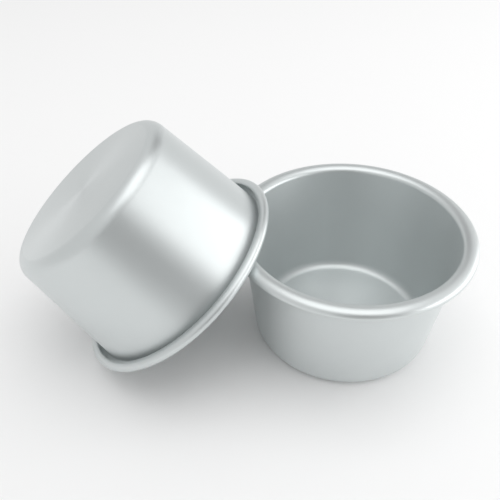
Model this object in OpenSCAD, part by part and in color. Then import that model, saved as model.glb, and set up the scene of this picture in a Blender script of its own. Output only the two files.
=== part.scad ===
// A pair of popover pans for one serving each. One stands on its base, and the
// other leans against it with its mouth down, its rim on the table at one side
// and across the standing pan's rim at the other.
// Each pan is a single drawn aluminium sheet: flat base, round corner, sloping
// wall, and a rim rolled outwards and down with its free edge left open below.
// Millimetres. Z is up, the origin is the middle of the standing pan's base on
// the table, the leaning pan lies towards -X, and -Y faces the viewer.

/* [Pan] */
// Outer diameter over the rolled rim
rim_d = 80; // [76:1:90]
// Height from the table to the top of the rim
pan_h = 43.2; // [38:0.2:46]
// Diameter where the slope of the wall would meet the table
base_d = 61.4; // [58:0.2:64]
// Thickness of the sheet
sheet_t = 1; // [0.6:0.1:1.2]
// Outer radius of the corner between base and wall
base_r = 4.4; // [2:0.2:8]

/* [Rolled rim] */
// Width of the rim, from the mouth to its outer edge
rim_w = 5.2; // [4.8:0.1:6]
// Outer radius of the rim's shoulder and of its outer turn
curl_r = 1.7; // [1.5:0.1:2]
// Outer radius of the crown between those two
crown_r = 3.6; // [3.2:0.1:6]
// Outer radius of the turn that brings the free edge inwards
lip_r = 1.3; // [1.3:0.1:1.8]
// Gap between the wall and the free edge
lip_gap = 1.7; // [0.8:0.1:2]

/* [Leaning pan] */
// Angle of its axis below the level
lean_a = 51.6; // [44:0.2:54]
// Gap left where its rim rests on the standing pan's rim
seat_clear = 0.3; // [0.1:0.05:0.5]

/* [Part] */
// Which piece to draw

/* [Hidden] */
satin_silver = [0.77, 0.78, 0.78];
// Facets round a pan, and degrees between the points of a bend
ring_fn = 48;
bend_step = 11;
// Degrees between the points tried where the rims meet, round and over the rim
round_step = 0.75;
over_step = 3;
// Distances between the pans' middles that the search for that place starts
// from, in rim radii, and how often it halves the way between them
seat_far = 3;
seat_near = 1.6;
seat_halvings = 18;

rim_r = rim_d / 2;
rim_mid = rim_r - rim_w / 2;

// The crown's arc meets the two turns where their centres line up
turn_off = rim_w / 2 - curl_r;
turn_rise = sqrt(pow(crown_r - curl_r, 2) - pow(turn_off, 2));
crown_z = pan_h - crown_r;
turn_z = crown_z + turn_rise;
crown_end = atan2(turn_rise, turn_off);
shoulder_x = rim_mid - turn_off;
outer_x = rim_mid + turn_off;

// The wall's outer face leaves base_d on the table and passes the shoulder's
// centre at the turn's inner radius
wall_run = shoulder_x - base_d / 2;
wall_a = acos((curl_r - sheet_t) / norm([wall_run, turn_z])) - atan2(turn_z, wall_run);
wall_n = [cos(wall_a), -sin(wall_a)];
corner_x = base_d / 2 - base_r * (1 - sin(wall_a)) / cos(wall_a);

// The free edge ends a gap away from the wall beside it
lip_z = turn_z - lip_r;
lip_x = rim_r - lip_r;
lip_end = base_d / 2 + lip_z * tan(wall_a) + lip_gap;

// Section of one pan, right of its axis, with the table at y = 0

// Points from angle a0 to a1 round a centre, without the first one
function arc(centre, r, a0, a1) =
    let (steps = ceil(abs(a1 - a0) / bend_step))
    [
        for (i = [1 : steps])
        let (a = a0 + (a1 - a0) * i / steps)
        centre + r * [cos(a), sin(a)]
    ];

// One face of the sheet, from the middle of the base to the free edge. It lies
// at radius foot_r round the corner, and at depth under the rim's upper face.
function sheet_face(foot_r, depth) = [
    [0, base_r - foot_r],
    [corner_x, base_r - foot_r],
    each arc([corner_x, base_r], foot_r, -90, -wall_a),
    [shoulder_x, turn_z] - (curl_r - depth) * wall_n,
    each arc([shoulder_x, turn_z], curl_r - depth, 180 - wall_a, 180 - crown_end),
    each arc([rim_mid, crown_z], crown_r - depth, 180 - crown_end, crown_end),
    each arc([outer_x, turn_z], curl_r - depth, crown_end, 0),
    each arc([lip_x, turn_z], lip_r - depth, 0, -90),
    [lip_end, lip_z + depth]
];

function reversed(points) = [for (i = [len(points) - 1 : -1 : 0]) points[i]];

module pan() {
    under = sheet_face(base_r, sheet_t);
    upper = sheet_face(base_r - sheet_t, 0);
    rotate_extrude($fn = ring_fn)
        polygon(concat(under, reversed(upper)));
}

// Where the leaning pan comes to rest

// Centre and radius of the arc on the rim's top that faces angle a
function arc_at(a) =
    a < crown_end ? [outer_x, turn_z, curl_r]
    : a > 180 - crown_end ? [shoulder_x, turn_z, curl_r]
    : [rim_mid, crown_z, crown_r];

function rim_point(a) =
    let (arc = arc_at(a))
    [arc[0] + arc[2] * cos(a), arc[1] + arc[2] * sin(a)];

// A pan's own coordinates, tipped so that its mouth faces down and right
function tip(p) = [
    -p[0] * sin(lean_a) + p[2] * cos(lean_a),
    p[1],
    -p[0] * cos(lean_a) - p[2] * sin(lean_a)
];

// Height of its base that brings the lowest point of its rim to the table
lean_low = rim_point(lean_a);
lean_z = -tip([lean_low[0], 0, lean_low[1]])[2];

// Distance from a point above the table to the standing pan's rim
function rim_gap(p) =
    let (u = abs(norm([p[0], p[1]]) - rim_mid))
    atan2(p[2] - crown_z, u) < crown_end
        ? norm([u - turn_off, p[2] - turn_z]) - curl_r
        : norm([u, p[2] - crown_z]) - crown_r;

// Points on the upper half of the leaning rim, from its own base
lean_rim = [
    for (b = [90 : round_step : 180])
    for (a = [60 : over_step : 180 - wall_a])
    let (s = rim_point(a))
    tip([s[0] * cos(b), s[0] * sin(b), s[1]])
];

function lean_gap(x) = min([for (p = lean_rim) rim_gap(p + [x, 0, lean_z])]);

// Moves the leaning pan towards the standing one until the gap is seat_clear
function seat_x(far, near, halvings) =
    halvings == 0 ? far
    : let (x = (far + near) / 2)
      lean_gap(x) > seat_clear
        ? seat_x(x, near, halvings - 1)
        : seat_x(far, x, halvings - 1);

lean_x = seat_x(-seat_far * rim_r, -seat_near * rim_r, seat_halvings);

module upright_pan() {
    color(satin_silver)
        pan();
}

module leaning_pan() {
    color(satin_silver)
        translate([lean_x, 0, lean_z])
            rotate([0, 90 + lean_a, 0])
                pan();
}

upright_pan();
leaning_pan();
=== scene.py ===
from math import acos, atan2, cos, hypot, pi, radians, sin, sqrt

import bmesh
import bpy
from mathutils import Matrix, Vector


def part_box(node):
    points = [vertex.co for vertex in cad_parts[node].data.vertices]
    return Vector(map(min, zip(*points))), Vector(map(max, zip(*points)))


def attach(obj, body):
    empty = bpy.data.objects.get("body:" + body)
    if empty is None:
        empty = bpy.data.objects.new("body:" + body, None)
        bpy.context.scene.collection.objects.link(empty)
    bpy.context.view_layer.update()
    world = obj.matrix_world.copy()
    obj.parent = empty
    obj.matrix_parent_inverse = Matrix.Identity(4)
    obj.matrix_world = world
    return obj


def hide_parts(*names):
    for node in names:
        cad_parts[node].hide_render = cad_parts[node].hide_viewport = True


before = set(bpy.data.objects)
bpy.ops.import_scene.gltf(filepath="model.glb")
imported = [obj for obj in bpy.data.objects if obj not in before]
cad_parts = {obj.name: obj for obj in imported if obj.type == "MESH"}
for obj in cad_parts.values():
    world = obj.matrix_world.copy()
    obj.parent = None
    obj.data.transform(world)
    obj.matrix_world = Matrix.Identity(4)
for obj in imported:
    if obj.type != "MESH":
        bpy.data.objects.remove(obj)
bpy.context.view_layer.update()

mm = 0.001


def addNode(nodes, kind, x, y, **values):
    node = nodes.new(kind)
    node.location = (x, y)
    for key, value in values.items():
        setattr(node, key, value)
    return node


def newMaterial(name):
    material = bpy.data.materials.new(name)
    material.use_nodes = True
    material.node_tree.nodes.clear()
    return material, material.node_tree.nodes, material.node_tree.links


# Satin aluminium. The marks run round the pan, and are fainter on its flat base.
satin = {
    "colour": (0.70, 0.735, 0.735, 1),
    "darkerColour": (0.655, 0.69, 0.692, 1),
    "metallic": 0.66,  # the anodised skin scatters some of the light
    "anisotropyTurn": 0.25,  # highlights stretch across the marks
    "marksAcross": 900,  # over the sheet's length from the middle to its edge
    "marksRound": 3,
    "marksContrast": 0.6,
    "marksRange": (0.3, 0.7),  # of the noise, spread over the roughness
    "reliefStrength": 0.5,
    "cloudScale": 55,
    "noiseDetail": 3,
    "wall": {"roughness": (0.35, 0.42), "anisotropy": 0.5, "markDepth": 0.018 * mm},
    "base": {"roughness": (0.30, 0.34), "anisotropy": 0.6, "markDepth": 0.006 * mm},
}


def makeSatinAluminium(name, finish, uvName):
    material, nodes, links = newMaterial(name)
    output = addNode(nodes, "ShaderNodeOutputMaterial", 900, 0)
    metal = addNode(nodes, "ShaderNodeBsdfPrincipled", 600, 0)
    metal.inputs["Metallic"].default_value = satin["metallic"]
    metal.inputs["Anisotropic"].default_value = finish["anisotropy"]
    metal.inputs["Anisotropic Rotation"].default_value = satin["anisotropyTurn"]
    links.new(metal.outputs["BSDF"], output.inputs["Surface"])

    sheetMap = addNode(nodes, "ShaderNodeUVMap", -900, 0, uv_map=uvName)
    roundPan = addNode(nodes, "ShaderNodeTangent", 300, -400, direction_type="UV_MAP", uv_map=uvName)
    links.new(roundPan.outputs["Tangent"], metal.inputs["Tangent"])

    stretch = addNode(nodes, "ShaderNodeMapping", -700, 0)
    stretch.inputs["Scale"].default_value = (satin["marksRound"], satin["marksAcross"], 1)
    links.new(sheetMap.outputs["UV"], stretch.inputs["Vector"])
    marks = addNode(nodes, "ShaderNodeTexNoise", -500, 0)
    marks.inputs["Scale"].default_value = 1
    marks.inputs["Detail"].default_value = satin["noiseDetail"]
    marks.inputs["Roughness"].default_value = satin["marksContrast"]
    links.new(stretch.outputs["Vector"], marks.inputs["Vector"])

    place = addNode(nodes, "ShaderNodeTexCoord", -900, 300)
    clouds = addNode(nodes, "ShaderNodeTexNoise", -500, 300)
    clouds.inputs["Scale"].default_value = satin["cloudScale"]
    clouds.inputs["Detail"].default_value = satin["noiseDetail"]
    links.new(place.outputs["Object"], clouds.inputs["Vector"])

    tint = addNode(nodes, "ShaderNodeMixRGB", 0, 300)
    tint.inputs["Color1"].default_value = satin["darkerColour"]
    tint.inputs["Color2"].default_value = satin["colour"]
    links.new(clouds.outputs["Fac"], tint.inputs["Fac"])
    links.new(tint.outputs["Color"], metal.inputs["Base Color"])

    sheen = addNode(nodes, "ShaderNodeMapRange", 0, 0)
    sheen.inputs["From Min"].default_value = satin["marksRange"][0]
    sheen.inputs["From Max"].default_value = satin["marksRange"][1]
    sheen.inputs["To Min"].default_value = finish["roughness"][0]
    sheen.inputs["To Max"].default_value = finish["roughness"][1]
    links.new(marks.outputs["Fac"], sheen.inputs["Value"])
    links.new(sheen.outputs["Result"], metal.inputs["Roughness"])

    relief = addNode(nodes, "ShaderNodeBump", 300, -200)
    relief.inputs["Strength"].default_value = satin["reliefStrength"]
    relief.inputs["Distance"].default_value = finish["markDepth"]
    links.new(marks.outputs["Fac"], relief.inputs["Height"])
    links.new(relief.outputs["Normal"], metal.inputs["Normal"])
    return material


# Both pans come out of the same dies
uprightLow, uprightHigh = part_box("upright_pan")
pan = {
    "height": uprightHigh[2] - uprightLow[2],
    "rimRadius": (uprightHigh[0] - uprightLow[0]) / 2,
    "baseRadius": 30.7 * mm,  # where the wall's slope meets the table
    "sheet": 1.0 * mm,
    "cornerRadius": 4.4 * mm,
    "rimWidth": 5.2 * mm,
    "turnRadius": 1.7 * mm,
    "crownRadius": 3.6 * mm,
    "lipRadius": 1.3 * mm,
    "lipGap": 1.7 * mm,
    "flatRadius": 26.8 * mm,  # of the base, inside the corner
    "flatHeight": 1.01 * mm,  # just over the base's upper face
    "bendStep": radians(5),
    "stepsRound": 288,
    "nearAxis": 0.01 * mm,
    "mergeDistance": 0.002 * mm,
    "uvName": "roundThePan",
}


def rimCentres():
    rimMiddle = pan["rimRadius"] - pan["rimWidth"] / 2
    turnOff = pan["rimWidth"] / 2 - pan["turnRadius"]
    turnRise = sqrt((pan["crownRadius"] - pan["turnRadius"]) ** 2 - turnOff ** 2)
    crown = (rimMiddle, pan["height"] - pan["crownRadius"])
    turnHeight = crown[1] + turnRise
    return {
        "crown": crown,
        "shoulder": (rimMiddle - turnOff, turnHeight),
        "outer": (rimMiddle + turnOff, turnHeight),
        "lip": (pan["rimRadius"] - pan["lipRadius"], turnHeight),
        "crownEnd": atan2(turnRise, turnOff),
    }


def arcPoints(centre, radius, start, end):
    steps = max(2, round(abs(end - start) / pan["bendStep"]))
    angles = [start + (end - start) * i / steps for i in range(steps + 1)]
    return [(centre[0] + radius * cos(a), centre[1] + radius * sin(a)) for a in angles]


def sheetFace(cornerRadius, depth, slope, centres):
    # From the middle of the base to the free edge, depth under the rim's top
    corner = pan["baseRadius"] - pan["cornerRadius"] * (1 - sin(slope)) / cos(slope), pan["cornerRadius"]
    crownEnd = centres["crownEnd"]
    turn = pan["turnRadius"] - depth
    lip = pan["lipRadius"] - depth
    points = [(0, pan["cornerRadius"] - cornerRadius)]
    points += arcPoints(corner, cornerRadius, -pi / 2, -slope)
    points += arcPoints(centres["shoulder"], turn, pi - slope, pi - crownEnd)
    points += arcPoints(centres["crown"], pan["crownRadius"] - depth, pi - crownEnd, crownEnd)[1:]
    points += arcPoints(centres["outer"], turn, crownEnd, 0)[1:]
    points += arcPoints(centres["lip"], lip, 0, -pi / 2)[1:]
    edgeX = pan["baseRadius"] + (centres["lip"][1] - lip) * sin(slope) / cos(slope) + pan["lipGap"]
    return points + [(edgeX, centres["lip"][1] - lip)]


def panOutline():
    centres = rimCentres()
    shoulder = centres["shoulder"]
    run = shoulder[0] - pan["baseRadius"]
    inside = pan["turnRadius"] - pan["sheet"]
    slope = acos(inside / hypot(run, shoulder[1])) - atan2(shoulder[1], run)
    outside = sheetFace(pan["cornerRadius"], pan["sheet"], slope, centres)
    upper = sheetFace(pan["cornerRadius"] - pan["sheet"], 0, slope, centres)
    return outside + upper[::-1]


def mapRoundPan(bm):
    # U runs once round the pan, V along the sheet from the middle outwards
    layer = bm.loops.layers.uv.new(pan["uvName"])
    for face in bm.faces:
        middle = face.calc_center_median()
        faceTurn = atan2(middle.y, middle.x)
        for loop in face.loops:
            x, y, z = loop.vert.co
            turn = atan2(y, x) if hypot(x, y) > pan["nearAxis"] else faceTurn
            turn = faceTurn + (turn - faceTurn + pi) % (2 * pi) - pi
            loop[layer].uv = (turn / (2 * pi), (hypot(x, y) + z) / (2 * pan["rimRadius"]))


def makePan(name, place, materials, body):
    bm = bmesh.new()
    outline = [bm.verts.new((x, 0, z)) for x, z in panOutline()]
    edges = [bm.edges.new(pair) for pair in zip(outline, outline[1:])]
    bmesh.ops.spin(bm, geom=outline + edges, cent=(0, 0, 0), axis=(0, 0, 1), dvec=(0, 0, 0),
                   angle=2 * pi, steps=pan["stepsRound"], use_merge=True, use_duplicate=False)
    bmesh.ops.remove_doubles(bm, verts=bm.verts, dist=pan["mergeDistance"])
    bmesh.ops.recalc_face_normals(bm, faces=bm.faces)
    mapRoundPan(bm)
    for face in bm.faces:
        face.smooth = True
        middle = face.calc_center_median()
        onFlat = hypot(middle.x, middle.y) < pan["flatRadius"] and middle.z < pan["flatHeight"]
        face.material_index = 1 if onFlat else 0
    bmesh.ops.transform(bm, matrix=place, verts=bm.verts)
    mesh = bpy.data.meshes.new(name)
    bm.to_mesh(mesh)
    bm.free()
    for material in materials:
        mesh.materials.append(material)
    piece = bpy.data.objects.new(name, mesh)
    bpy.context.scene.collection.objects.link(piece)
    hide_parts(body + "_pan")
    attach(piece, body)
    print(name, "faces", len(mesh.polygons))
    return piece


# The leaning pan's axis points down towards the standing pan
lean = {
    "angle": radians(51.6),  # of its axis, below the level
}


def leaningPlace():
    centres = rimCentres()
    outerX, turnZ = centres["outer"]
    low = outerX * cos(lean["angle"]) + turnZ * sin(lean["angle"]) + pan["turnRadius"]
    reach = outerX * sin(lean["angle"]) + turnZ * cos(lean["angle"]) + pan["turnRadius"]
    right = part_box("leaning_pan")[1][0]
    return Matrix.Translation((right - reach, 0, low)) @ Matrix.Rotation(pi / 2 + lean["angle"], 4, "Y")


panMaterials = [
    makeSatinAluminium("spunAluminium", satin["wall"], pan["uvName"]),
    makeSatinAluminium("pressedAluminium", satin["base"], pan["uvName"]),
]
makePan("standingPan", Matrix.Identity(4), panMaterials, "upright")
makePan("leaningPan", leaningPlace(), panMaterials, "leaning")


# Floor, lamps and surroundings
studio = {
    "floorSize": 12.0,
    "floorColour": (0.93, 0.93, 0.93, 1),
    "worldColour": (1, 1, 1, 1),
    "worldStrength": 0.68,
    "lamps": {
        # name: (place, target, width, height, power)
        "overheadLamp": ((0, 0, 1.0), (-0.03, 0, 0.03), 0.9, 0.9, 3.3),
        "sideLamp": ((0.75, -0.02, 0.24), (-0.03, 0, 0.03), 1.1, 0.45, 3.1),
    },
    "flagColour": (0.08, 0.08, 0.08, 1),
    "flags": {
        # name: (place, width, height), upright, seen only in the pans' reflections
        "lowFlag": ((0.08, -0.35, 0.12), 0.34, 0.24),
        "tallFlag": ((0.06, -0.36, 0.27), 0.16, 0.54),
        "backFlag": ((0.03, 0.42, 0.46), 0.3, 0.4),
    },
}


def makeSheet(name, colour, matrix):
    bm = bmesh.new()
    bmesh.ops.create_grid(bm, x_segments=1, y_segments=1, size=0.5, matrix=matrix)
    mesh = bpy.data.meshes.new(name)
    bm.to_mesh(mesh)
    bm.free()
    sheet = bpy.data.objects.new(name, mesh)
    bpy.context.scene.collection.objects.link(sheet)
    material, nodes, links = newMaterial(name + "Paint")
    output = addNode(nodes, "ShaderNodeOutputMaterial", 300, 0)
    paint = addNode(nodes, "ShaderNodeBsdfDiffuse", 0, 0)
    paint.inputs["Color"].default_value = colour
    links.new(paint.outputs["BSDF"], output.inputs["Surface"])
    mesh.materials.append(material)
    return sheet


def makeFloor():
    makeSheet("floor", studio["floorColour"], Matrix.Diagonal((studio["floorSize"], studio["floorSize"], 1, 1)))


def makeFlags():
    for name, (place, width, height) in studio["flags"].items():
        stand = Matrix.Translation(place) @ Matrix.Rotation(pi / 2, 4, "X")
        size = Matrix.Diagonal((width, height, 1, 1))
        flag = makeSheet(name, studio["flagColour"], stand @ size)
        flag.visible_camera = False
        flag.visible_diffuse = False
        flag.visible_shadow = False


def makeLamps():
    for name, (place, target, width, height, power) in studio["lamps"].items():
        light = bpy.data.lights.new(name, "AREA")
        light.shape = "RECTANGLE"
        light.size = width
        light.size_y = height
        light.energy = power
        lamp = bpy.data.objects.new(name, light)
        lamp.location = place
        lamp.rotation_euler = (Vector(target) - Vector(place)).to_track_quat("-Z", "Y").to_euler()
        bpy.context.scene.collection.objects.link(lamp)


def makeWorld():
    world = bpy.data.worlds.new("studioWorld")
    bpy.context.scene.world = world
    world.use_nodes = True
    sky = world.node_tree.nodes["Background"]
    sky.inputs["Color"].default_value = studio["worldColour"]
    sky.inputs["Strength"].default_value = studio["worldStrength"]


makeFloor()
makeFlags()
makeLamps()
makeWorld()
print("studio ready")


# Camera at the photograph's viewing angle
camera = {
    "place": (-33.12 * mm, -156.39 * mm, 162.67 * mm),
    "below": radians(41.804),  # how far it looks down
    "turn": radians(-0.053),
    "roll": radians(0.236),
    "focal": 607.14 / 500,  # in widths of the picture
    "shiftUp": 0.048,
    "sensorWidth": 36,
    "clipStart": 0.01,
}


def makeCamera():
    data = bpy.data.cameras.new("camera")
    data.sensor_fit = "HORIZONTAL"
    data.sensor_width = camera["sensorWidth"]
    data.lens = camera["focal"] * camera["sensorWidth"]
    data.shift_y = camera["shiftUp"]
    data.clip_start = camera["clipStart"]
    view = bpy.data.objects.new("camera", data)
    look = Matrix.Rotation(-camera["turn"], 4, "Z") @ Matrix.Rotation(pi / 2 - camera["below"], 4, "X")
    view.matrix_world = Matrix.Translation(camera["place"]) @ look @ Matrix.Rotation(-camera["roll"], 4, "Z")
    bpy.context.scene.collection.objects.link(view)
    bpy.context.scene.camera = view


makeCamera()
bpy.context.scene.view_settings.view_transform = "Standard"
